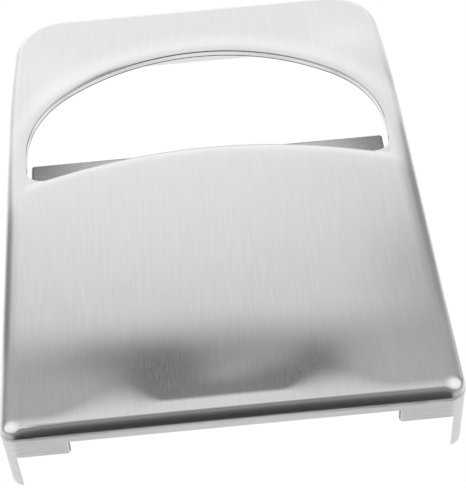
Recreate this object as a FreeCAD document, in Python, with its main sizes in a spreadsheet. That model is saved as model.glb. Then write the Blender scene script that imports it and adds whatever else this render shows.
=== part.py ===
import FreeCAD, Part

import math
import os

import Sketcher

# A wall-hung dispenser for folded paper seat covers, in millimetres.
# +Z is up, the wall is the plane Y = 0 and the face looks towards -Y.
# The origin is the middle of the four wall screw holes, in the wall plane.
# Every sketch counts heights from the bottom edge of the cover, and each
# body's placement then lowers it by the height of the screw holes.

SIZES = [
    # The cover, a single pressed sheet
    ("width", 225.0, "cover, side to side"),
    ("height", 308.0, "cover, bottom to top"),
    ("depth", 44.0, "cover, wall to face"),
    ("sheet", 0.8, "thickness of all the sheet"),
    ("edge_round", 5.0, "bend round the front of the cover"),
    ("bottom_bend", 8.0, "bend between a side wall and the bottom"),
    ("top_corner", 29.0, "corner between a side wall and the top"),
    ("top_draw", 96.0, "sides begin to draw in this far below the top"),
    ("side_ease", 2.5, "how far each side draws in below its top corner"),
    # The ledge along the bottom, which the paper stands on
    ("ledge_depth", 10.0, "ledge in the middle, from the face"),
    ("tab_depth", 19.4, "ledge at its two end tabs, from the face"),
    ("notch_width", 160.0, "shallow middle of the ledge, side to side"),
    ("tab_bend", 1.8, "bend at the inner end of a tab"),
    ("tab_turn", 3.2, "height of a tab's turned-up inner end"),
    ("ear_width", 6.0, "part of each bottom bend that runs back to the wall"),
    # The opening in the face
    ("opening_margin", 11.0, "opening to the side of the cover"),
    ("top_band", 43.6, "top of the opening below the top of the cover"),
    ("opening_height", 81.4, "opening at its middle"),
    ("side_rise", 7.0, "springing of the arch above the top of the lower lip"),
    ("shoulder_share", 0.82, "radius of the arch's ends as a share of its rise"),
    ("lower_radius", 288.0, "arched lower lip"),
    ("opening_corner", 9.0, "lower corners of the opening"),
    ("lip_depth", 3.6, "turned-in lip, from the face"),
    ("lip_round", 0.7, "bend between the face and the lip"),
    # The plate behind the paper
    ("plate_gap", 7.0, "plate to the inside of each side wall"),
    ("plate_bottom", 32.0, "lower edge of the plate"),
    ("plate_rise", 33.5, "upper edge of the plate above the lower lip"),
    ("plate_standoff", 8.0, "front of the plate to the wall"),
    ("plate_bend", 2.2, "bend at each end of the plate"),
    # The cups drawn back to the wall round the screw holes
    ("hole_inset_x", 34.7, "screw hole to the side of the plate"),
    ("hole_inset_z", 37.25, "screw hole to the end of the plate"),
    ("hole_diameter", 5.0, "screw hole"),
    ("cup_diameter", 20.0, "outside of a cup"),
    # The angles that carry the plate
    ("angle_inset", 13.0, "end of an angle inside the end of the plate"),
    ("angle_leg", 15.0, "each leg of an angle"),
    ("angle_bend", 1.6, "bend of an angle"),
]

# Sizes that follow from the others
FOLLOWING = [
    ("side_straight", "height - top_draw", "height at which the sides begin to draw in"),
    ("lip_peak", "height - top_band - opening_height", "top of the arched lower lip"),
    ("spring", "lip_peak + side_rise", "height at which the arch springs"),
    ("shoulder", "shoulder_share * (opening_height - side_rise)", "radius of the arch's ends"),
    ("opening_reach", "width / 2 - opening_margin", "middle of the opening to its side"),
    ("plate_reach", "width / 2 - sheet - plate_gap", "middle of the plate to its side"),
    ("plate_top", "lip_peak + plate_rise", "upper edge of the plate"),
    ("fixing_height", "(plate_bottom + plate_top) / 2", "middle of the screw holes"),
    ("hole_x", "plate_reach - hole_inset_x", "screw hole to the middle, across"),
    ("hole_z", "plate_top - hole_inset_z - fixing_height", "screw hole to the middle, up"),
]

# The numbers by which a sketch knows an edge's ends and its own axes
START, END, CENTRE = range(1, 4)
LEVEL_AXIS, UPRIGHT_AXIS = range(-1, -3, -1)
ORIGIN = (LEVEL_AXIS, START)
NEAR = 1e-4

document = FreeCAD.newDocument("SeatCoverDispenser")
sheet_of_sizes = document.addObject("Spreadsheet::Sheet", "Sizes")
for row, (alias, _, meaning) in enumerate(SIZES + FOLLOWING, start=1):
    sheet_of_sizes.set("A%d" % row, meaning)
    sheet_of_sizes.setAlias("B%d" % row, alias)
for alias, value, _ in SIZES:
    sheet_of_sizes.set(alias, str(value))
for alias, formula, _ in FOLLOWING:
    sheet_of_sizes.set(alias, "=" + formula)
document.recompute()


def size(alias):
    return float(getattr(sheet_of_sizes, alias))


def vector(across, up):
    return FreeCAD.Vector(across, up, 0)


def new_body(name):
    body = document.addObject("PartDesign::Body", name)
    body.Label = name
    body.setExpression("Placement.Base.z", "-Sizes.fixing_height")
    return body


def new_sketch(body, name, plane, offset=None):
    """A sketch on one of the body's own planes, moved along its normal."""
    sketch = body.newObject("Sketcher::SketchObject", name)
    origin_plane = [f for f in body.Origin.OriginFeatures if f.Role == plane][0]
    sketch.AttachmentSupport = [(origin_plane, "")]
    sketch.MapMode = "FlatFace"
    if offset:
        sketch.setExpression("AttachmentOffset.Base.z", offset)
    return sketch


def bind(sketch, name, expression, *constraint):
    """A dimension that follows the sheet. Its last value is the first guess."""
    index = sketch.addConstraint(Sketcher.Constraint(*constraint))
    sketch.renameConstraint(index, name)
    sketch.setExpression("Constraints." + name, expression)


def arc(centre, radius, first, last):
    """A round stretch, anticlockwise between two angles in degrees."""
    circle = Part.Circle(centre, FreeCAD.Vector(0, 0, 1), radius)
    return Part.ArcOfCircle(circle, math.radians(first), math.radians(last))


def join_smoothly(sketch, chain):
    """Join each piece's end to the next one's start, tangent, all the way round."""
    for (piece, _, leave), (following, enter, _) in zip(chain, chain[1:] + chain[:1]):
        sketch.addConstraint(Sketcher.Constraint("Tangent", piece, leave, following, enter))


def polygon(sketch, corners):
    """A closed outline of straight edges through the corners."""
    edges = []
    for first, last in zip(corners, corners[1:] + corners[:1]):
        edges.append(sketch.addGeometry(Part.LineSegment(first, last), False))
    for edge, following in zip(edges, edges[1:] + edges[:1]):
        sketch.addConstraint(Sketcher.Constraint("Coincident", edge, END, following, START))
    for edge, (first, last) in zip(edges, zip(corners, corners[1:] + corners[:1])):
        if abs(first.x - last.x) < NEAR:
            sketch.addConstraint(Sketcher.Constraint("Vertical", edge))
        elif abs(first.y - last.y) < NEAR:
            sketch.addConstraint(Sketcher.Constraint("Horizontal", edge))
    return edges


def pad(body, name, sketch, length):
    feature = body.newObject("PartDesign::Pad", name)
    feature.Profile = sketch
    feature.setExpression("Length", length)
    document.recompute()
    return feature


def pocket(body, name, sketch, length=None, forwards=False):
    """Cut the sketch out, right through unless a length is given."""
    before = body.Tip.Shape.Volume
    feature = body.newObject("PartDesign::Pocket", name)
    feature.Profile = sketch
    feature.Reversed = forwards
    if length:
        feature.setExpression("Length", length)
    else:
        feature.Type = "ThroughAll"
    document.recompute()
    if feature.Shape.Volume > before - NEAR:
        raise RuntimeError(name + " cuts nothing")
    return feature


def edges_where(feature, wanted):
    """Names of the edges of which every sample point passes a test."""
    names = []
    for number, edge in enumerate(feature.Shape.Edges, start=1):
        if all(wanted(point) for point in edge.discretize(5)):
            names.append("Edge%d" % number)
    return names


def faces_where(feature, wanted):
    """Names of the faces of which every corner passes a test."""
    names = []
    for number, face in enumerate(feature.Shape.Faces, start=1):
        if all(wanted(vertex.Point) for vertex in face.Vertexes):
            names.append("Face%d" % number)
    return names


def round_edges(body, name, edges, radius):
    feature = body.newObject("PartDesign::Fillet", name)
    feature.Base = (body.Tip if body.Tip != feature else feature.BaseFeature, edges)
    feature.setExpression("Radius", radius)
    document.recompute()
    return feature


def hollow_out(body, name, base, open_faces):
    """Leave only the sheet under the skin, and take the open faces away."""
    feature = body.newObject("PartDesign::Thickness", name)
    feature.Base = (base, open_faces)
    feature.Reversed = True
    feature.Join = 0
    feature.setExpression("Value", "Sizes.sheet")
    document.recompute()
    return feature


def at(value, target):
    return abs(value - target) < NEAR


def draw_cover_outline(sketch):
    """Straight sides that draw in a little towards the rounded top corners."""
    half = size("width") / 2
    top = size("height")
    bend = size("bottom_bend")
    corner = size("top_corner")
    start = size("side_straight")
    ease = size("side_ease")
    # The easing arc and the corner arc meet where both have turned by the same angle.
    turn = 2 * math.atan(ease / (top - corner - start))
    for _ in range(20):
        end = top - corner * (1 - math.sin(turn))
        turn = 2 * math.atan(ease / (end - start))
    ease_radius = (end - start) / math.sin(turn)
    centre_x = half - ease - corner * math.cos(turn)
    angle = math.degrees(turn)
    add = lambda piece: sketch.addGeometry(piece, False)
    bottom = add(Part.LineSegment(vector(bend - half, 0), vector(half - bend, 0)))
    bend_right = add(arc(vector(half - bend, bend), bend, 270, 360))
    side_right = add(Part.LineSegment(vector(half, bend), vector(half, start)))
    ease_right = add(arc(vector(half - ease_radius, start), ease_radius, 0, angle))
    corner_right = add(arc(vector(centre_x, top - corner), corner, angle, 90))
    level_top = add(Part.LineSegment(vector(centre_x, top), vector(-centre_x, top)))
    corner_left = add(arc(vector(-centre_x, top - corner), corner, 90, 180 - angle))
    ease_left = add(arc(vector(ease_radius - half, start), ease_radius, 180 - angle, 180))
    side_left = add(Part.LineSegment(vector(-half, start), vector(-half, bend)))
    bend_left = add(arc(vector(bend - half, bend), bend, 180, 270))
    ring = [bottom, bend_right, side_right, ease_right, corner_right,
            level_top, corner_left, ease_left, side_left, bend_left]
    join_smoothly(sketch, [(piece, START, END) for piece in ring])
    sketch.addConstraint([
        Sketcher.Constraint("Vertical", side_right),
        Sketcher.Constraint("Vertical", side_left),
        Sketcher.Constraint("Symmetric", bottom, START, bottom, END, UPRIGHT_AXIS),
        Sketcher.Constraint("Symmetric", level_top, START, level_top, END, UPRIGHT_AXIS),
        Sketcher.Constraint("Equal", bend_right, bend_left),
        Sketcher.Constraint("Equal", ease_right, ease_left),
        Sketcher.Constraint("Equal", corner_right, corner_left),
        Sketcher.Constraint("PointOnObject", bottom, START, LEVEL_AXIS),
    ])
    bind(sketch, "half_width", "Sizes.width / 2", "DistanceX", *ORIGIN, side_right, START, half)
    bind(sketch, "full_height", "Sizes.height", "DistanceY", *ORIGIN, level_top, START, top)
    bind(sketch, "bend", "Sizes.bottom_bend", "Radius", bend_right, bend)
    bind(sketch, "corner", "Sizes.top_corner", "Radius", corner_right, corner)
    bind(sketch, "straight", "Sizes.side_straight", "DistanceY", *ORIGIN, side_right, END, start)
    bind(sketch, "ease", "Sizes.side_ease", "DistanceX", ease_right, END, side_right, END, ease)


def draw_opening(sketch, grow):
    """A low arch over a gently arched lower lip. Grow is the name of the margin
    that is added all round, or nothing for the clear opening itself."""
    extra = size(grow) if grow else 0.0
    plus = " + Sizes." + grow if grow else ""
    minus = " - Sizes." + grow if grow else ""
    half = size("opening_reach") + extra
    peak = size("lip_peak") - extra
    top = size("lip_peak") + size("opening_height") + extra
    spring = size("spring")
    shoulder = size("shoulder") + extra
    lower = size("lower_radius") - extra
    corner = size("opening_corner") + extra
    # The crown arc passes through the top and touches both shoulder arcs.
    rise = top - spring
    inset = half - shoulder
    crown = (inset ** 2 + rise ** 2 - shoulder ** 2) / (2 * (rise - shoulder))
    lean = math.degrees(math.atan2(spring - (top - crown), inset))
    # Each corner arc touches its side and the lower lip from inside.
    corner_x = half - corner
    corner_z = peak - lower + math.sqrt((lower + corner) ** 2 - corner_x ** 2)
    touch = math.degrees(math.atan2(corner_z - (peak - lower), corner_x))
    add = lambda piece: sketch.addGeometry(piece, False)
    crown_arc = add(arc(vector(0, top - crown), crown, lean, 180 - lean))
    shoulder_left = add(arc(vector(-inset, spring), shoulder, 180 - lean, 180))
    side_left = add(Part.LineSegment(vector(-half, spring), vector(-half, corner_z)))
    corner_left = add(arc(vector(-corner_x, corner_z), corner, 180, 360 - touch))
    lower_lip = add(arc(vector(0, peak - lower), lower, touch, 180 - touch))
    corner_right = add(arc(vector(corner_x, corner_z), corner, 180 + touch, 360))
    side_right = add(Part.LineSegment(vector(half, corner_z), vector(half, spring)))
    shoulder_right = add(arc(vector(inset, spring), shoulder, 0, lean))
    join_smoothly(sketch, [
        (crown_arc, START, END), (shoulder_left, START, END), (side_left, START, END),
        (corner_left, START, END), (lower_lip, END, START), (corner_right, START, END),
        (side_right, START, END), (shoulder_right, START, END)])
    crown_top = sketch.addGeometry(Part.Point(vector(0, top)), True)
    lip_top = sketch.addGeometry(Part.Point(vector(0, peak)), True)
    sketch.addConstraint([
        Sketcher.Constraint("Vertical", side_left),
        Sketcher.Constraint("Vertical", side_right),
        Sketcher.Constraint("PointOnObject", crown_arc, CENTRE, UPRIGHT_AXIS),
        Sketcher.Constraint("PointOnObject", lower_lip, CENTRE, UPRIGHT_AXIS),
        Sketcher.Constraint("Equal", shoulder_left, shoulder_right),
        Sketcher.Constraint("Equal", corner_left, corner_right),
        Sketcher.Constraint("PointOnObject", crown_top, START, UPRIGHT_AXIS),
        Sketcher.Constraint("PointOnObject", crown_top, START, crown_arc),
        Sketcher.Constraint("PointOnObject", lip_top, START, UPRIGHT_AXIS),
        Sketcher.Constraint("PointOnObject", lip_top, START, lower_lip),
    ])
    reach = "Sizes.opening_reach" + plus
    bind(sketch, "reach_right", reach, "DistanceX", *ORIGIN, side_right, START, half)
    bind(sketch, "reach_left", reach, "DistanceX", side_left, START, *ORIGIN, half)
    bind(sketch, "spring", "Sizes.spring", "DistanceY", *ORIGIN, side_right, END, spring)
    bind(sketch, "top", "Sizes.lip_peak + Sizes.opening_height" + plus,
         "DistanceY", *ORIGIN, crown_top, START, top)
    bind(sketch, "peak", "Sizes.lip_peak" + minus,
         "DistanceY", *ORIGIN, lip_top, START, peak)
    bind(sketch, "shoulder", "Sizes.shoulder" + plus, "Radius", shoulder_left, shoulder)
    bind(sketch, "corner", "Sizes.opening_corner" + plus, "Radius", corner_left, corner)
    bind(sketch, "lower", "Sizes.lower_radius" + minus, "Radius", lower_lip, lower)


def cut_bottom(body):
    """Leave a ledge with two deeper end tabs. Behind it the bottom is open for the
    paper, and only the two bends run on to the wall."""
    inner = size("width") / 2 - size("ear_width")
    notch = size("notch_width") / 2 + size("tab_bend")
    back = size("depth")
    tab = size("tab_depth") - back
    ledge = size("ledge_depth") - back
    past_wall = 1.0
    sketch = new_sketch(body, "bottom_cut_sketch", "XY_Plane")
    edges = polygon(sketch, [
        vector(-inner, past_wall), vector(-inner, tab), vector(-notch, tab), vector(-notch, ledge),
        vector(notch, ledge), vector(notch, tab), vector(inner, tab), vector(inner, past_wall)])
    side_left, tab_left, step_left, middle, step_right, tab_right, side_right, rear = edges
    sketch.addConstraint([
        Sketcher.Constraint("Symmetric", tab_left, START, tab_right, END, UPRIGHT_AXIS),
        Sketcher.Constraint("DistanceY", *ORIGIN, rear, START, past_wall),
    ])
    bind(sketch, "inner", "Sizes.width / 2 - Sizes.ear_width",
         "DistanceX", *ORIGIN, side_right, START, inner)
    bind(sketch, "notch_left", "Sizes.notch_width / 2 + Sizes.tab_bend",
         "DistanceX", middle, START, *ORIGIN, notch)
    bind(sketch, "notch_right", "Sizes.notch_width / 2 + Sizes.tab_bend",
         "DistanceX", *ORIGIN, middle, END, notch)
    bind(sketch, "tab", "Sizes.depth - Sizes.tab_depth",
         "DistanceY", tab_right, START, *ORIGIN, -tab)
    bind(sketch, "ledge", "Sizes.depth - Sizes.ledge_depth",
         "DistanceY", middle, START, *ORIGIN, -ledge)
    pocket(body, "bottom_cut", sketch, "Sizes.bottom_bend", forwards=True)


def turn_up_tab(body, name, side):
    """Turn the inner end of a tab up, so that the paper doesn't catch on it. Side is
    -1 for the left tab."""
    bend = size("tab_bend")
    sheet = size("sheet")
    rise = size("tab_turn")
    edge = side * size("notch_width") / 2
    centre = edge + side * bend
    inside = edge + side * sheet
    first, last = (180, 270) if side > 0 else (270, 360)
    sketch = new_sketch(body, name + "_sketch", "XZ_Plane", "Sizes.depth - Sizes.tab_depth")
    add = lambda piece: sketch.addGeometry(piece, False)
    outer_arc = add(arc(vector(centre, bend), bend, first, last))
    outer_face = add(Part.LineSegment(vector(edge, bend), vector(edge, rise)))
    cut_edge = add(Part.LineSegment(vector(edge, rise), vector(inside, rise)))
    inner_face = add(Part.LineSegment(vector(inside, rise), vector(inside, bend)))
    inner_arc = add(arc(vector(centre, bend), bend - sheet, first, last))
    joint = add(Part.LineSegment(vector(centre, sheet), vector(centre, 0)))
    high, low = (START, END) if side > 0 else (END, START)
    sketch.addConstraint([
        Sketcher.Constraint("Tangent", outer_arc, high, outer_face, START),
        Sketcher.Constraint("Coincident", outer_face, END, cut_edge, START),
        Sketcher.Constraint("Coincident", cut_edge, END, inner_face, START),
        Sketcher.Constraint("Tangent", inner_face, END, inner_arc, high),
        Sketcher.Constraint("Coincident", inner_arc, low, joint, START),
        Sketcher.Constraint("Coincident", joint, END, outer_arc, low),
        Sketcher.Constraint("Coincident", outer_arc, CENTRE, inner_arc, CENTRE),
        Sketcher.Constraint("Horizontal", cut_edge),
        Sketcher.Constraint("Vertical", inner_face),
        Sketcher.Constraint("Vertical", joint),
        Sketcher.Constraint("PointOnObject", joint, END, LEVEL_AXIS),
    ])
    sign = "%+d * " % side
    bind(sketch, "edge", sign + "Sizes.notch_width / 2", "DistanceX", *ORIGIN, cut_edge, START, edge)
    bind(sketch, "rise", "Sizes.tab_turn", "DistanceY", *ORIGIN, cut_edge, START, rise)
    bind(sketch, "bend", "Sizes.tab_bend", "Radius", outer_arc, bend)
    bind(sketch, "thick", "Sizes.sheet", "DistanceY", joint, END, joint, START, sheet)
    pad(body, name, sketch, "Sizes.tab_depth - Sizes.ledge_depth")


def cut_opening(body):
    """The opening, with its edge turned in all round."""
    face = -size("depth")
    lip_start = "Sizes.depth - Sizes.lip_depth"
    lip_sketch = new_sketch(body, "lip_sketch", "XZ_Plane", lip_start)
    draw_opening(lip_sketch, "sheet")
    pad(body, "lip_blank", lip_sketch, "Sizes.lip_depth")
    clear_sketch = new_sketch(body, "opening_sketch", "XZ_Plane")
    draw_opening(clear_sketch, None)
    clear = pocket(body, "opening", clear_sketch, forwards=True)
    reach = size("opening_reach") + size("sheet")
    low = size("lip_peak") - size("opening_height")
    top = size("lip_peak") + size("opening_height") + size("sheet")
    around = lambda point: abs(point.x) < reach + NEAR and low < point.z < top + NEAR
    front = lambda point: at(point.y, face) and around(point)
    round_edges(body, "lip_bend", edges_where(clear, front), "Sizes.lip_round")


def make_cover_shell():
    body = new_body("cover_shell")
    outline = new_sketch(body, "outline", "XZ_Plane")
    draw_cover_outline(outline)
    blank = pad(body, "blank", outline, "Sizes.depth")
    front = edges_where(blank, lambda point: at(point.y, -size("depth")))
    rounded = round_edges(body, "front_bend", front, "Sizes.edge_round")
    rear = faces_where(rounded, lambda point: at(point.y, 0))
    hollow_out(body, "hollow", rounded, rear)
    cut_bottom(body)
    turn_up_tab(body, "tab_end_left", -1)
    turn_up_tab(body, "tab_end_right", 1)
    cut_opening(body)
    return body


def draw_block(sketch, left, right, low, high):
    """A rectangle whose four sides each follow a size expression and its value."""
    corners = [vector(left[1], low[1]), vector(right[1], low[1]),
               vector(right[1], high[1]), vector(left[1], high[1])]
    bottom, _, top, _ = polygon(sketch, corners)
    for name, kind, edge, (expression, value) in (
            ("left", "DistanceX", bottom, left), ("low", "DistanceY", bottom, low),
            ("right", "DistanceX", top, right), ("high", "DistanceY", top, high)):
        bind(sketch, name, expression, kind, *ORIGIN, edge, START, value)


def draw_cup(body, name, side, level):
    """Draw the plate back to the wall round one screw hole. Side and level are
    -1 or +1 and say which of the four holes it is."""
    hole = size("hole_diameter") / 2
    cup = size("cup_diameter") / 2
    thick = size("sheet")
    deep = size("plate_standoff")
    centre_x = side * size("hole_x")
    centre_z = size("fixing_height") + level * size("hole_z")
    across = "%+d * Sizes.hole_x" % side
    up = "Sizes.fixing_height %s Sizes.hole_z" % ("+" if level > 0 else "-")
    mouth_sketch = new_sketch(body, name + "_mouth_sketch", "XZ_Plane")
    circle = Part.Circle(vector(centre_x, centre_z), FreeCAD.Vector(0, 0, 1), cup)
    ring = mouth_sketch.addGeometry(circle, False)
    bind(mouth_sketch, "across", across, "DistanceX", *ORIGIN, ring, CENTRE, centre_x)
    bind(mouth_sketch, "up", up, "DistanceY", *ORIGIN, ring, CENTRE, centre_z)
    bind(mouth_sketch, "mouth", "Sizes.cup_diameter / 2", "Radius", ring, cup)
    pocket(body, name + "_mouth", mouth_sketch, forwards=True)
    # Half of the cup's section, in a level plane through the hole's axis
    section = new_sketch(body, name + "_section", "XY_Plane", up)
    floor, outside, rim, inside, floor_front, bore = polygon(section, [
        vector(centre_x + hole, 0), vector(centre_x + cup, 0),
        vector(centre_x + cup, -deep), vector(centre_x + cup - thick, -deep),
        vector(centre_x + cup - thick, -thick), vector(centre_x + hole, -thick)])
    axis = section.addGeometry(
        Part.LineSegment(vector(centre_x, 0), vector(centre_x, -deep)), True)
    section.addConstraint([
        Sketcher.Constraint("PointOnObject", floor, START, LEVEL_AXIS),
        Sketcher.Constraint("PointOnObject", axis, START, LEVEL_AXIS),
        Sketcher.Constraint("Vertical", axis),
        Sketcher.Constraint("Equal", bore, rim),
        Sketcher.Constraint("Equal", axis, outside),
    ])
    bind(section, "axis_x", across, "DistanceX", *ORIGIN, axis, START, centre_x)
    bind(section, "deep", "Sizes.plate_standoff", "DistanceY", outside, END, *ORIGIN, deep)
    bind(section, "hole", "Sizes.hole_diameter / 2",
         "DistanceX", axis, START, floor, START, hole)
    bind(section, "cup", "Sizes.cup_diameter / 2", "DistanceX", axis, START, floor, END, cup)
    bind(section, "thick", "Sizes.sheet", "DistanceY", bore, START, bore, END, thick)
    cup_feature = body.newObject("PartDesign::Revolution", name)
    cup_feature.Profile = section
    cup_feature.ReferenceAxis = (section, ["Axis0"])
    cup_feature.Angle = 360
    document.recompute()


def make_back_plate():
    """A shallow channel: both side edges are bent back and stand on the angles."""
    body = new_body("back_plate")
    half = size("plate_reach")
    outline = new_sketch(body, "plate_outline", "XZ_Plane", "Sizes.sheet")
    draw_block(outline, ("-Sizes.plate_reach", -half), ("Sizes.plate_reach", half),
               ("Sizes.plate_bottom", size("plate_bottom")), ("Sizes.plate_top", size("plate_top")))
    blank = pad(body, "plate_blank", outline, "Sizes.plate_standoff - Sizes.sheet")
    front = -size("plate_standoff")
    ends = edges_where(blank, lambda point: at(point.y, front) and at(abs(point.x), half))
    bent = round_edges(body, "plate_bends", ends, "Sizes.plate_bend")
    open_faces = faces_where(bent, lambda point: at(point.y, -size("sheet")))
    open_faces += faces_where(bent, lambda point: at(point.z, size("plate_bottom")))
    open_faces += faces_where(bent, lambda point: at(point.z, size("plate_top")))
    hollow_out(body, "plate_sheet", bent, open_faces)
    for level_name, level in (("low", -1), ("high", 1)):
        for side_name, side in (("left", -1), ("right", 1)):
            draw_cup(body, "cup_%s_%s" % (level_name, side_name), side, level)
    return body


def make_side_angle(name, side):
    """An angle inside one side wall: one leg on that wall, one along the room wall
    behind the edge of the plate. Side is -1 for the left one."""
    body = new_body(name)
    wall = size("width") / 2 - size("sheet")
    leg = size("angle_leg")
    outer = ("%+d * (Sizes.width / 2 - Sizes.sheet)" % side, side * wall)
    inner = ("%+d * (Sizes.width / 2 - Sizes.sheet - Sizes.angle_leg)" % side, side * (wall - leg))
    left, right = (outer, inner) if side < 0 else (inner, outer)
    bottom = size("plate_bottom") + size("angle_inset")
    top = size("plate_top") - size("angle_inset")
    outline = new_sketch(body, name + "_outline", "XZ_Plane")
    draw_block(outline, left, right, ("Sizes.plate_bottom + Sizes.angle_inset", bottom),
               ("Sizes.plate_top - Sizes.angle_inset", top))
    blank = pad(body, name + "_blank", outline, "Sizes.angle_leg")
    corner = edges_where(blank, lambda point: at(point.y, 0) and at(point.x, outer[1]))
    bent = round_edges(body, name + "_bend", corner, "Sizes.angle_bend")
    open_faces = faces_where(bent, lambda point: at(point.y, -leg))
    open_faces += faces_where(bent, lambda point: at(point.x, inner[1]))
    open_faces += faces_where(bent, lambda point: at(point.z, bottom))
    open_faces += faces_where(bent, lambda point: at(point.z, top))
    hollow_out(body, name + "_sheet", bent, open_faces)
    return body


def check_document():
    """Stop if any object failed to build."""
    for item in document.Objects:
        if "Invalid" in item.State or "Error" in item.State:
            raise RuntimeError("%s failed: %s" % (item.Name, item.State))


def write_parts(bodies):
    os.makedirs("parts", exist_ok=True)
    for body in bodies:
        shape = body.Shape
        if shape.isNull() or not shape.isValid() or len(shape.Solids) != 1:
            raise RuntimeError(body.Label + " is not one sound solid")
        shape.exportStep("parts/%s.step" % body.Label)
        box = shape.BoundBox
        print("%-18s %8.1f mm3  x %.1f..%.1f  y %.1f..%.1f  z %.1f..%.1f" % (
            body.Label, shape.Volume, box.XMin, box.XMax, box.YMin, box.YMax, box.ZMin, box.ZMax))


parts = [
    make_cover_shell(),
    make_back_plate(),
    make_side_angle("side_angle_left", -1),
    make_side_angle("side_angle_right", 1),
]
document.recompute()
check_document()
write_parts(parts)
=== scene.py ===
import math

import bpy
from mathutils import Matrix, Vector

# A wall-hung dispenser for folded paper seat covers, in brushed stainless sheet.
# Metres, +Z up, the wall at Y = 0, the face towards -Y. Heights are above the bottom
# edge of the cover. A lean is a slope of the surface, and a positive one looks up.

HOLES_LEVEL = 0.12425    # the origin above the cover's bottom edge
NOTCH_SIDE = 0.080       # the inner ends of the two tabs, from the middle
LIP_REAR = -0.0404       # the cut rear edge of the lip, from the wall

# The circles of the opening's outline: middle across and up, radius
CROWN = (0.0, 0.1354, 0.129)
SHOULDER = (0.0405, 0.190, 0.061)
LOWER_LIP = (0.0, -0.105, 0.288)
CROWN_ANGLE = 0.932      # the crown begins here, seen from the shoulder's middle
OPENING_SIDE = 0.1015
OPENING_CORNER = 0.006
SPRINGING = 0.190        # the arch stands on this height

# How far the parts of the face lean
LOWER_LEAN = -0.045
RIGHT_LEAN = -0.046
STRIP_LEAN = 0.048
OVER_ARCH_LEAN = 0.055
LOWER_LIP_LEAN = 0.042
BEND_LEAN = 0.074

# The dents, and two faint rises: middle across and up, reach across and up, lean
DENTS = [
    (-0.032, 0.027, 0.019, 0.017, -0.084),
    (-0.060, 0.042, 0.024, 0.012, -0.030),
    (0.044, 0.027, 0.012, 0.012, -0.056),
    (0.026, 0.018, 0.018, 0.009, -0.062),
    (-0.004, 0.015, 0.032, 0.006, -0.058),
    (0.002, 0.038, 0.036, 0.015, -0.020),
    (0.088, 0.266, 0.024, 0.017, 0.045),
    (-0.090, 0.250, 0.028, 0.028, 0.040),
]
DENTS_MIDDLE = -0.004

# Grain in the two deepest dents: middle across and up, reach across and up
LEFT_GRAIN = (-0.036, 0.029, 0.022, 0.017)
RIGHT_GRAIN = (0.034, 0.024, 0.018, 0.013)
GRAIN_LEAN = 0.13
GRAIN_SHADE = 0.33

# The raised lower corners, across and up, how far each reaches and how round it is
CORNERS = [(-0.1065, 0.0036), (0.1070, 0.0056)]
CORNER_REACH = 0.0042
CORNER_ROUND = 15.0

# The studio, and how bright it is round the left-right axis: the angle in degrees, 0
# straight ahead of the face and 90 straight up, and the level
FLOOR_LEVEL = -1.1
FLOOR_SIZE = 24.0
STUDIO_RADIUS = 12.0
STUDIO_LEVELS = [
    (-180, 0.98), (-160, 1.00), (-150, 0.80), (-140, 0.72), (-130, 0.62), (-120, 0.46),
    (-112, 0.28), (-105, 0.12), (-98, 0.055), (-80, 0.025), (-55, 0.035), (-38, 0.055),
    (-22, 0.09), (-6, 0.175), (3, 0.23), (11, 0.28), (17, 0.28), (22, 0.21), (26, 0.21),
    (29, 0.30), (32, 0.43), (35, 0.58), (38, 0.72), (40, 0.83), (42, 0.90), (45, 0.96),
    (51, 0.95), (57, 1.08), (65, 1.15), (120, 1.15), (180, 0.98),
]

# The camera: where it stands, and its focal length and the picture's longer side in dots
CAMERA_PLACE = (-0.005106, -0.601846, -0.518402)
FOCAL_DOTS = 1430.0
LONGER_SIDE_DOTS = 488.0
SENSOR_WIDTH = 36.0

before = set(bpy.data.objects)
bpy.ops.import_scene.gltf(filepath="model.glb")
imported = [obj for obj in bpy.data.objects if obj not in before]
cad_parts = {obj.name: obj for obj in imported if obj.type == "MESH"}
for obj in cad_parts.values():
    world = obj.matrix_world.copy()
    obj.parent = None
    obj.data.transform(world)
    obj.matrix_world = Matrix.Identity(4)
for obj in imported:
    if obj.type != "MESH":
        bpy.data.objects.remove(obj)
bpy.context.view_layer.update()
scene = bpy.context.scene


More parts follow.
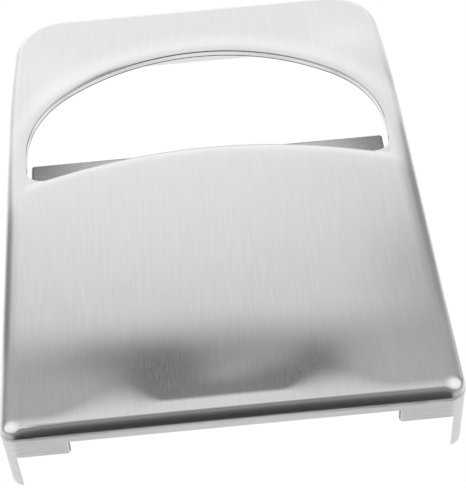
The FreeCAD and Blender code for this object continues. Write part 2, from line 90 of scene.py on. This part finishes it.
class Nodes:
    """Short calls that add the nodes of one node tree and link them."""

    def __init__(self, tree):
        self.tree = tree
        self.tree.nodes.clear()

    def add(self, kind, **settings):
        node = self.tree.nodes.new(kind)
        for name, value in settings.items():
            setattr(node, name, value)
        return node

    def put(self, value, socket):
        if isinstance(value, bpy.types.NodeSocket):
            self.tree.links.new(value, socket)
        else:
            socket.default_value = value

    def feed(self, node, values):
        for value, socket in zip(values, node.inputs):
            self.put(value, socket)
        return node.outputs[0]

    def math(self, operation, *values):
        return self.feed(self.add("ShaderNodeMath", operation=operation), values)

    def vector_math(self, operation, *values):
        return self.feed(self.add("ShaderNodeVectorMath", operation=operation), values)

    def join(self, x, y, z):
        return self.feed(self.add("ShaderNodeCombineXYZ"), (x, y, z))

    def split(self, vector):
        node = self.add("ShaderNodeSeparateXYZ")
        self.put(vector, node.inputs[0])
        return node.outputs

    def times(self, first, *others):
        for other in others:
            first = self.math("MULTIPLY", first, other)
        return first

    def plus(self, first, *others):
        for other in others:
            first = self.math("ADD", first, other)
        return first

    def minus(self, first, second):
        return self.math("SUBTRACT", first, second)

    def positive(self, value):
        return self.math("ABSOLUTE", value)

    def larger(self, first, second):
        return self.math("MAXIMUM", first, second)

    def is_below(self, value, limit):
        return self.math("LESS_THAN", value, limit)

    def is_above(self, value, limit):
        return self.math("GREATER_THAN", value, limit)

    def remap(self, value, low, high, new_low=0.0, new_high=1.0, smooth=True):
        node = self.add("ShaderNodeMapRange")
        node.interpolation_type = "SMOOTHSTEP" if smooth else "LINEAR"
        return self.feed(node, (value, low, high, new_low, new_high))

    def hump(self, value, middle, reach):
        """1 where the value is at the middle, falling off smoothly to both sides."""
        away = self.math("DIVIDE", self.minus(value, middle), reach)
        return self.math("EXPONENT", self.times(away, away, -1.0))

    def mix(self, share, first, second):
        node = self.add("ShaderNodeMix", data_type="FLOAT")
        share_socket, _, first_socket, second_socket = node.inputs[:4]
        self.put(share, share_socket)
        self.put(first, first_socket)
        self.put(second, second_socket)
        return node.outputs[0]

    def mix_vectors(self, share, first, second):
        rest = self.minus(1.0, share)
        first = self.vector_math("MULTIPLY", first, self.join(rest, rest, rest))
        second = self.vector_math("MULTIPLY", second, self.join(share, share, share))
        return self.vector_math("ADD", second, first)

    def ramp(self, value, stops):
        """A grey ramp from (place, level) pairs, places from 0 to 1."""
        node = self.add("ShaderNodeValToRGB")
        elements = node.color_ramp.elements
        first, *between, last = stops
        for element, (place, level) in zip(elements, (first, last)):
            element.position = place
            element.color = (level, level, level, 1)
        for place, level in between:
            elements.new(place).color = (level, level, level, 1)
        self.put(value, node.inputs[0])
        return node.outputs[0]

    def noise(self, vector, scale, detail=4.0, roughness=0.5):
        node = self.add("ShaderNodeTexNoise")
        self.put(vector, node.inputs["Vector"])
        node.inputs["Scale"].default_value = scale
        node.inputs["Detail"].default_value = detail
        node.inputs["Roughness"].default_value = roughness
        return node.outputs["Fac"]

    def bump(self, height, strength, distance, normal=None):
        node = self.add("ShaderNodeBump")
        node.inputs["Strength"].default_value = strength
        node.inputs["Distance"].default_value = distance
        self.put(height, node.inputs["Height"])
        if normal is not None:
            self.put(normal, node.inputs["Normal"])
        return node.outputs[0]

    def finish(self, shader, output="ShaderNodeOutputMaterial"):
        self.put(shader, self.add(output).inputs["Surface"])


def new_material(name):
    material = bpy.data.materials.new(name)
    material.use_nodes = True
    return material, Nodes(material.node_tree)


def place_on_part(nodes, point):
    """Across, from the wall, and the height above the cover's bottom edge."""
    x, y, z = nodes.split(point)
    return x, y, nodes.plus(z, HOLES_LEVEL)


def square_of_distance(nodes, x, height, middle_x, middle_height):
    across = nodes.minus(x, middle_x)
    up = nodes.minus(height, middle_height)
    return nodes.math("MULTIPLY_ADD", across, across, nodes.times(up, up))


def patch(nodes, x, height, middle_x, middle_height, reach_x, reach_height):
    """1 in the middle of a soft patch of the face, falling off all round."""
    return nodes.times(nodes.hump(x, middle_x, reach_x),
                       nodes.hump(height, middle_height, reach_height))


def brushing(nodes):
    """Brushing that runs up the face and the sides, and along the width on what lies
    level. Returns the point, the fine and the coarse marks, and the direction in
    which the reflections are drawn out."""
    point = nodes.add("ShaderNodeTexCoord").outputs["Object"]
    normal = nodes.add("ShaderNodeNewGeometry").outputs["Normal"]
    x, y, z = nodes.split(point)
    normal_z = nodes.split(normal)[2]
    along = nodes.join(0.0, normal_z, 1.0)
    across = nodes.vector_math("CROSS_PRODUCT", along, normal)
    across = nodes.vector_math("NORMALIZE", across)
    level = nodes.positive(normal_z)
    slow = 0.05
    upright = nodes.join(x, y, nodes.times(z, slow))
    lying = nodes.join(nodes.times(x, slow), y, z)
    fine, coarse = (nodes.mix(level, nodes.noise(upright, scale), nodes.noise(lying, scale))
                    for scale in (2600.0, 1100.0))
    return point, fine, coarse, across


def opening_distance(nodes, x, height):
    """The distance from the opening's outline in the face, positive outside it."""
    side = nodes.positive(x)

    def from_circle(middle_x, middle_height, radius):
        square = square_of_distance(nodes, side, height, middle_x, middle_height)
        return nodes.minus(nodes.math("SQRT", square), radius)

    across = nodes.minus(side, SHOULDER[0])
    up = nodes.minus(height, SHOULDER[1])
    is_crown = nodes.is_above(nodes.math("ARCTAN2", up, across), CROWN_ANGLE)
    arch = nodes.mix(is_crown, from_circle(*SHOULDER), from_circle(*CROWN))
    beside = nodes.minus(side, OPENING_SIDE)
    under = nodes.times(from_circle(*LOWER_LIP), -1.0)
    low = nodes.math("SMOOTH_MAX", beside, under, OPENING_CORNER)
    return nodes.mix(nodes.is_above(height, SPRINGING), low, arch)


def over_the_arch(nodes, height):
    return nodes.remap(height, 0.180, 0.205)


def strip_share(nodes, x, height):
    """1 in the narrow strip above the bottom bend. It ends sharply under the dents.
    Beside them it fades upwards, less far towards the corners."""
    side = nodes.positive(nodes.minus(x, DENTS_MIDDLE))
    beside = nodes.remap(side, 0.028, 0.046)
    fading_top = nodes.remap(side, 0.046, 0.086, 0.027, 0.0105)
    top = nodes.mix(beside, 0.0132, fading_top)
    full = nodes.mix(beside, 0.0100, 0.0045)
    return nodes.remap(height, top, full)


def sprung_face(nodes, x, height):
    """How far the face leans up or down, as the press left it: hollow along its lower
    part, deepest in two dents, and standing out again just above the bottom bend."""
    onset = nodes.remap(x, 0.0, 0.035, 0.072, 0.066)
    lean = nodes.remap(height, onset, 0.036, 0.0, LOWER_LEAN)
    less_low_down = nodes.remap(height, 0.010, 0.040, 0.60, 1.0)
    less_at_right = nodes.remap(x, 0.055, 0.085, 1.0, 0.65)
    lean = nodes.times(lean, less_low_down, less_at_right)
    for *place, depth in DENTS:
        lean = nodes.math("MULTIPLY_ADD", patch(nodes, x, height, *place), depth, lean)
    # The right side leans down too, most of all a quarter of the way up.
    at_right = nodes.times(nodes.remap(x, 0.056, 0.116), nodes.hump(height, 0.080, 0.044))
    lean = nodes.math("MULTIPLY_ADD", at_right, RIGHT_LEAN, lean)
    lean = nodes.mix(strip_share(nodes, x, height), lean, STRIP_LEAN)
    above_bend = nodes.remap(height, 0.0046, 0.0054)
    return nodes.times(lean, above_bend)


def lean_by_opening(nodes, height, distance):
    """The face leans up over the arch and along the lower lip."""
    is_over = over_the_arch(nodes, height)
    over_arch = nodes.times(is_over, nodes.hump(distance, 0.008, 0.007))
    by_lower_lip = nodes.times(nodes.minus(1.0, is_over), nodes.hump(distance, 0.0, 0.012))
    return nodes.plus(nodes.times(over_arch, OVER_ARCH_LEAN),
                      nodes.times(by_lower_lip, LOWER_LIP_LEAN))


def dent_grain(nodes, point):
    """Short upright brushing that shows in the dents, and how much it shows there."""
    x, y, z = nodes.split(point)
    height = nodes.plus(z, HOLES_LEVEL)
    in_left = patch(nodes, x, height, *LEFT_GRAIN)
    in_right = patch(nodes, x, height, *RIGHT_GRAIN)
    in_dents = nodes.math("MULTIPLY_ADD", in_right, 0.9, in_left)
    upright = nodes.join(x, y, nodes.times(z, 0.10))
    return nodes.noise(upright, 2900.0, detail=3.0, roughness=0.6), in_dents


def brushed_lean(nodes, point, height, coarse):
    """The brushing leans the surface a little: in streaks, more of it higher up, and
    in the grain of the dents."""
    strength = nodes.remap(height, 0.055, 0.085, 0.011, 0.023)
    streaks = nodes.times(nodes.minus(coarse, 0.5), strength)
    grain, in_dents = dent_grain(nodes, point)
    grain = nodes.times(nodes.minus(grain, 0.5), in_dents, GRAIN_LEAN)
    return nodes.plus(streaks, grain)


def lip_turn(nodes, height, normal_z):
    """The turned-in lip and the underside of the top catch the white surround behind."""
    facing_down = nodes.remap(normal_z, -0.75, -0.95)
    is_high = nodes.is_above(height, 0.150)
    return nodes.times(facing_down, is_high, 0.40)


def side_turn(nodes, x, height):
    """The face rounds over a little before each side bend begins, but not beside the
    upper part of the opening or above it."""
    by_left_bend = nodes.remap(x, -0.1015, -0.1080)
    by_right_bend = nodes.remap(x, 0.1015, 0.1080)
    left = nodes.times(by_left_bend, nodes.remap(height, 0.150, 0.185, -1.0, 0.0))
    right = nodes.times(by_right_bend, nodes.remap(height, 0.200, 0.250, 1.0, 0.0))
    return nodes.times(nodes.plus(left, right), 0.16)


def late_bend(nodes, x, y, height, normal_z):
    """How far the bottom bend stays behind a true round, most of all towards its ends."""
    left = nodes.plus(nodes.remap(x, -0.070, -0.092, 0.0, 0.08),
                      nodes.remap(x, -0.090, -0.102, 0.0, 0.20),
                      nodes.times(nodes.hump(x, -0.070, 0.026), 0.045))
    right = nodes.plus(nodes.remap(x, 0.030, 0.060, 0.0, 0.03),
                       nodes.remap(x, 0.060, 0.100, 0.0, 0.05))
    ends = nodes.times(nodes.plus(left, right), nodes.remap(normal_z, 0.0, -0.25))
    late = nodes.plus(ends,
                      nodes.remap(normal_z, -0.40, -0.85, 0.0, 0.02),
                      nodes.remap(x, -0.104, -0.088, 0.3 * BEND_LEAN, BEND_LEAN))
    below_face = nodes.remap(height, 0.0056, 0.0046)
    before_ledge = nodes.remap(y, -0.0392, -0.0405)
    return nodes.times(late, below_face, before_ledge)


def raised_corner(nodes, x, y, height, corner, normal):
    """The normal near a lower corner, which stands out a little, with a bright spot."""
    square = square_of_distance(nodes, x, height, *corner)
    bright = nodes.math("EXPONENT", nodes.math("DIVIDE", square, -CORNER_REACH ** 2))
    sideways = nodes.times(nodes.minus(x, corner[0]), CORNER_ROUND)
    upwards = nodes.times(bright, nodes.remap(height, 0.0008, 0.0042, 0.0, 0.26))
    raised = nodes.join(sideways, -1.0, upwards)
    near = nodes.remap(nodes.math("SQRT", square), 0.0018, 0.0066, 1.0, 0.0)
    in_front = nodes.remap(y, -0.0410, -0.0434)
    return nodes.mix_vectors(nodes.times(near, in_front), normal, raised)


def rolled_in(nodes, x, height, distance, normal):
    """The face rolls in towards the opening, most tightly over the arch's left part."""
    near = nodes.remap(distance, 0.0, 0.006, 1.0, 0.0, smooth=False)
    nearer = nodes.remap(distance, 0.0, 0.0045, 1.0, 0.0, smooth=False)
    at_left = nodes.times(nodes.hump(x, -0.060, 0.019), over_the_arch(nodes, height))
    tight = nodes.times(nearer, nearer, at_left)
    roll = nodes.math("MULTIPLY_ADD", tight, 1.4, nodes.times(near, near))
    return nodes.bump(nodes.times(roll, -1.0), 1.0, 0.0003, normal)


def pressed_normal(nodes, point, coarse):
    """The normal of the cover with the small unevenness that pressing left in it."""
    normal = nodes.add("ShaderNodeNewGeometry").outputs["Normal"]
    _, normal_y, normal_z = nodes.split(normal)
    x, y, height = place_on_part(nodes, point)
    distance = opening_distance(nodes, x, height)
    lean = nodes.plus(sprung_face(nodes, x, height),
                      lean_by_opening(nodes, height, distance),
                      brushed_lean(nodes, point, height, coarse))
    late = late_bend(nodes, x, y, height, normal_z)
    back = nodes.plus(lip_turn(nodes, height, normal_z), nodes.times(normal_z, late))
    up = nodes.minus(lean, nodes.times(normal_y, late))
    turn = nodes.join(side_turn(nodes, x, height), back, up)
    normal = nodes.vector_math("ADD", normal, turn)
    for corner in CORNERS:
        normal = raised_corner(nodes, x, y, height, corner, normal)
    normal = nodes.vector_math("NORMALIZE", normal)
    return rolled_in(nodes, x, height, distance, normal)


def lip_painted_shade_lines(nodes, x, y, height):
    """Painted shade: the cut rear edge of the lip is painted black, and a painted shadow line
    runs along the front of the lower lip.
    """
    distance = opening_distance(nodes, x, height)
    from_rear = nodes.positive(nodes.minus(y, LIP_REAR))
    on_lip = nodes.is_below(nodes.positive(distance), 0.0012)
    rear = nodes.times(nodes.remap(from_rear, 0.0004, 0.0007, 1.0, 0.0), on_lip)
    under_arch = nodes.is_below(height, 0.195)
    on_face = nodes.is_below(y, -0.0425)
    off_corners = nodes.remap(nodes.positive(x), 0.086, 0.095, 1.0, 0.0)
    # Painted shadow line along the front of the lower lip.
    line = nodes.times(nodes.hump(distance, 0.0003, 0.0006), 0.50)
    return nodes.larger(rear, nodes.times(line, under_arch, on_face, off_corners))


def tab_end_painted_shadows(nodes, x, y, height):
    """Painted shadow on the cut ends of the ledge's two tabs, towards the notch."""
    from_end = nodes.positive(nodes.minus(nodes.positive(x), NOTCH_SIDE))
    is_low = nodes.is_below(height, 0.004)
    on_tab = nodes.remap(y, -0.0345, -0.0335)
    return nodes.times(nodes.remap(from_end, 0.0002, 0.0005, 0.85, 0.0), is_low, on_tab)


def ledge_painted_shade(nodes, point):
    """Painted shade on the ledge and what runs on from it to the wall: darkest just behind the
    bottom bend and towards the sides, in streaks along the width.
    """
    x, y, z = nodes.split(point)
    is_low = nodes.is_below(nodes.plus(z, HOLES_LEVEL), 0.008)
    behind_bend = nodes.remap(y, -0.0415, -0.0390)
    side = nodes.positive(x)
    next_to_bend = nodes.remap(side, 0.02, 0.09, 0.10, 0.32)
    # Painted shade, stronger towards the sides and next to the bottom bend.
    ledge_shade = nodes.plus(nodes.remap(side, 0.02, 0.10, 0.08, 0.16),
                      nodes.remap(y, -0.0390, -0.0370, next_to_bend, 0.0))
    lying = nodes.join(nodes.times(x, 0.12), y, z)
    streaks = nodes.remap(nodes.noise(lying, 1300.0), 0.30, 0.70, 0.7, 1.3)
    return nodes.times(ledge_shade, is_low, behind_bend, streaks)


def cover_painted_shade_and_grain(nodes, point):
    """The cover is darker with painted shade along its cut edges and on the ledge, and in the
    dents' grain.
    """
    x, y, height = place_on_part(nodes, point)
    grain, in_dents = dent_grain(nodes, point)
    grain = nodes.times(nodes.remap(grain, 0.35, 0.70), in_dents, GRAIN_SHADE)
    ledge_shade_and_grain = nodes.larger(ledge_painted_shade(nodes, point), grain)
    edges = nodes.larger(lip_painted_shade_lines(nodes, x, y, height), tab_end_painted_shadows(nodes, x, y, height))
    return nodes.larger(edges, ledge_shade_and_grain)


def plate_painted_shade(nodes, point):
    """Painted shade on the plate: it darkens to both ends, where the cover round it shades it,
    and painted shade lines run along its cut edges.
    """
    x, _, height = place_on_part(nodes, point)
    side = nodes.positive(x)
    # Painted shade: darker towards both ends, and dark lines along the upper edge and the end
    # edges.
    ends = nodes.remap(side, 0.055, 0.103, 0.0, 0.55)
    upper_edge = nodes.remap(height, 0.2155, 0.2161, 0.0, 0.35)
    end_edges = nodes.remap(side, 0.1034, 0.1042, 0.0, 0.35)
    return nodes.larger(ends, nodes.larger(upper_edge, end_edges))


def brushed_steel(name, tone, roughness, anisotropy, grain=1.0, uneven=None, shade=None):
    """Stainless sheet with a fine brushing, a little uneven in tone. Uneven gives the normal,
    and shade how much darker each place is, which is painted shade (and on the cover also the
    dents' grain)."""
    material, nodes = new_material(name)
    point, fine, coarse, across = brushing(nodes)
    clouds = nodes.noise(point, 14.0, detail=2.0)
    grey = nodes.plus(tone - 0.05 * grain - 0.01,
                      nodes.times(fine, 0.06 * grain),
                      nodes.times(coarse, 0.04 * grain),
                      nodes.times(clouds, 0.02))
    # Painted shade darkens the colour here: cut edges, ledge and plate ends, and on the cover
    # also the dents' grain.
    if shade is not None:
        grey = nodes.times(grey, nodes.minus(1.0, shade(nodes, point)))
    warm = [nodes.times(grey, share) for share in (1.0, 0.998, 0.993)]
    shader = nodes.add("ShaderNodeBsdfPrincipled")
    nodes.put(nodes.feed(nodes.add("ShaderNodeCombineColor"), warm), shader.inputs["Base Color"])
    shader.inputs["Metallic"].default_value = 1.0
    uneven_gloss = nodes.math("MULTIPLY_ADD", fine, 0.06, roughness - 0.03)
    nodes.put(uneven_gloss, shader.inputs["Roughness"])
    shader.inputs["Anisotropic"].default_value = anisotropy
    nodes.put(across, shader.inputs["Tangent"])
    normal = None
    if uneven is not None:
        normal = uneven(nodes, point, coarse)
    nodes.put(nodes.bump(fine, 0.25 * grain, 0.00002, normal), shader.inputs["Normal"])
    nodes.finish(shader.outputs[0])
    return material


def dress(node, material):
    """Give a carried-over node its finished material."""
    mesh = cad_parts[node].data
    mesh.materials.clear()
    mesh.materials.append(material)
    for polygon in mesh.polygons:
        polygon.material_index = 0


def white_surround():
    world = bpy.data.worlds.new("white_surround")
    world.use_nodes = True
    nodes = Nodes(world.node_tree)
    background = nodes.add("ShaderNodeBackground")
    background.inputs["Color"].default_value = (1, 1, 1, 1)
    background.inputs["Strength"].default_value = 1.0
    nodes.finish(background.outputs[0], "ShaderNodeOutputWorld")
    scene.world = world


def studio_level(nodes):
    """How bright the studio is in each direction: bright above and behind, dark in
    front and below, grey at the sides."""
    point = nodes.add("ShaderNodeTexCoord").outputs["Object"]
    x, y, z = nodes.split(nodes.vector_math("NORMALIZE", point))
    turn = nodes.math("ARCTAN2", z, nodes.times(y, -1.0))
    place = nodes.remap(turn, -math.pi, math.pi, smooth=False)
    middle = nodes.ramp(place, [((angle + 180) / 360, level) for angle, level in STUDIO_LEVELS])
    # Both sides are darkest a little above the middle of their height.
    right_level = nodes.plus(nodes.remap(z, 0.42, 0.60, 0.60, 0.32),
                             nodes.remap(z, 0.713, 0.772, 0.0, 0.58))
    right_start = nodes.remap(z, 0.30, 0.60, 0.30, 0.05)
    right_full = nodes.remap(z, 0.30, 0.60, 0.62, 0.50)
    sides = nodes.mix(nodes.remap(x, right_start, right_full), middle, right_level)
    # The left side begins nearest to the middle at the height where it is darkest.
    left_level = nodes.plus(nodes.remap(z, 0.42, 0.60, 0.62, 0.23),
                            nodes.remap(z, 0.660, 0.760, 0.0, 0.52))
    left_start = nodes.plus(nodes.remap(z, 0.650, 0.710, -0.10, -0.36),
                            nodes.remap(z, 0.30, 0.60, -0.20, 0.0))
    sides = nodes.mix(nodes.remap(x, left_start, -0.72), sides, left_level)
    # Behind, it is a little darker on the right, at the height that the lower part of
    # the right bend reflects.
    dip = nodes.times(nodes.hump(z, 0.562, 0.032), nodes.remap(x, 0.10, 0.36), -0.55)
    back = nodes.plus(nodes.larger(sides, middle), dip)
    behind_start = nodes.remap(z, 0.55, 0.62, -0.14, 0.05)
    behind_full = nodes.remap(z, 0.55, 0.62, 0.34, 0.60)
    return nodes.mix(nodes.remap(y, behind_start, behind_full), sides, back)


def light_the_studio():
    """A plain white surround, and a large shell round it that only reflections see."""
    white_surround()
    bpy.ops.mesh.primitive_uv_sphere_add(segments=64, ring_count=32, radius=STUDIO_RADIUS)
    shell = bpy.context.object
    shell.name = "studio_shell"
    shell.visible_camera = False
    shell.visible_diffuse = False
    shell.visible_shadow = False
    shell.visible_transmission = False
    material, nodes = new_material("studio_light")
    emission = nodes.add("ShaderNodeEmission")
    nodes.put(studio_level(nodes), emission.inputs["Strength"])
    nodes.finish(emission.outputs[0])
    shell.data.materials.append(material)


def lay_the_floor():
    bpy.ops.mesh.primitive_plane_add(size=FLOOR_SIZE, location=(0, 0, FLOOR_LEVEL))
    floor = bpy.context.object
    floor.name = "floor"
    floor.visible_glossy = False
    material, nodes = new_material("pale_floor")
    point = nodes.add("ShaderNodeTexCoord").outputs["Object"]
    grey = nodes.remap(nodes.noise(point, 3.0), 0.0, 1.0, 0.82, 0.86)
    shader = nodes.add("ShaderNodeBsdfPrincipled")
    nodes.put(grey, shader.inputs["Base Color"])
    shader.inputs["Roughness"].default_value = 0.8
    nodes.finish(shader.outputs[0])
    floor.data.materials.append(material)


def set_the_camera():
    """The photograph looks up from below the face, with a slight roll."""
    right = Vector((0.99556018, 0.0485347, -0.08064936))
    down = Vector((-0.09239507, 0.66751042, -0.73884571))
    forward = Vector((0.01797463, 0.74301697, 0.66903116))
    data = bpy.data.cameras.new("camera")
    data.sensor_width = SENSOR_WIDTH
    data.lens = FOCAL_DOTS * SENSOR_WIDTH / LONGER_SIDE_DOTS
    camera = bpy.data.objects.new("camera", data)
    rotation = Matrix((right, -down, -forward)).transposed()
    camera.matrix_world = Matrix.Translation(CAMERA_PLACE) @ rotation.to_4x4()
    scene.collection.objects.link(camera)
    scene.camera = camera


# The cover and the plate carry painted shade in their colour.
cover = brushed_steel("cover_steel_brushed", 0.82, 0.22, 0.90, 1.0, pressed_normal, cover_painted_shade_and_grain)
plate = brushed_steel("plate_steel_brushed", 0.90, 0.28, 0.85, 0.4, shade=plate_painted_shade)
angle = brushed_steel("angle_steel_plain", 0.76, 0.34, 0.3)
dress("cover_shell", cover)
dress("back_plate", plate)
dress("side_angle_left", angle)
dress("side_angle_right", angle)
light_the_studio()
lay_the_floor()
set_the_camera()
scene.view_settings.view_transform = "Standard"
